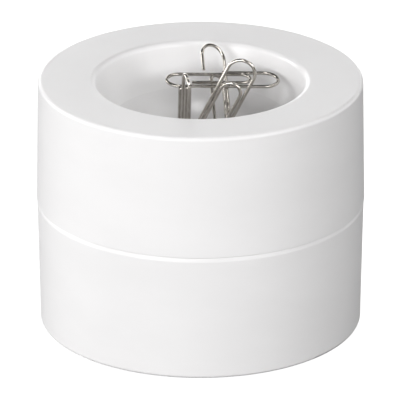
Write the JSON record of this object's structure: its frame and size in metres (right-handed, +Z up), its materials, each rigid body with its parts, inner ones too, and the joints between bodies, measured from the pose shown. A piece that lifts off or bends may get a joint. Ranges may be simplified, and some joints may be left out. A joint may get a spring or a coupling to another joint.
{
  "type": "magnetic paper clip holder",
  "caption": "Round magnetic paper clip holder: a rounded bowl in the lift-off upper half holds wire clips over a magnet, and the weighted lower half stores spares.",
  "frame": {"origin": "middle of the footprint on the table, at the underside of the anti-slip ring", "axes": "+Z up along the axis of the round case, -Y towards the viewer of the picture, +X to the viewer's right"},
  "size_m": [0.075, 0.075, 0.0649],
  "materials": {
    "white_case": "smooth moulded, semi-gloss",
    "white_plate": "fine eroded texture",
    "grey_cover": "fine eroded texture",
    "foot_rubber": "soft matt",
    "ballast_steel": "blanked sheet, zinc plated",
    "magnet_ferrite": "ground sintered",
    "plated_screw": "zinc plated",
    "clip_wire": "bright plated wire"
  },
  "bodies": {
    "base": {"lower_shell": "white_case", "ballast_disc": "ballast_steel", "base_cover": "grey_cover", "cover_screws": "plated_screw", "foot_ring": "foot_rubber"},
    "upper": {"upper_shell": "white_case", "magnet_disc": "magnet_ferrite", "magnet_back_plate": "ballast_steel", "under_plate": "white_plate", "plate_screws": "plated_screw"},
    "clip_rear": {"clip_rear": "clip_wire"},
    "clip_crosswise": {"clip_crosswise": "clip_wire"},
    "clip_left": {"clip_left": "clip_wire"},
    "clip_leaning": {"clip_leaning": "clip_wire"}
  },
  "joints": [
    {"name": "upper_lift", "type": "slide", "parent": "base", "child": "upper", "axis": [0, 0, 1], "range_m": [0, 0.045]},
    {"name": "clip_rear_pull", "type": "slide", "parent": "upper", "child": "clip_rear", "axis": [-0.0855, 0.7095, 0.6995], "range_m": [0, 0.03]},
    {"name": "clip_crosswise_pull", "type": "slide", "parent": "upper", "child": "clip_crosswise", "axis": [0, 0, 1], "range_m": [0, 0.02]},
    {"name": "clip_left_pull", "type": "slide", "parent": "upper", "child": "clip_left", "axis": [0.0206, -0.3669, 0.93], "range_m": [0, 0.028]},
    {"name": "clip_leaning_pull", "type": "slide", "parent": "upper", "child": "clip_leaning", "axis": [0.4368, -0.1035, 0.8936], "range_m": [0, 0.026]}
  ]
}
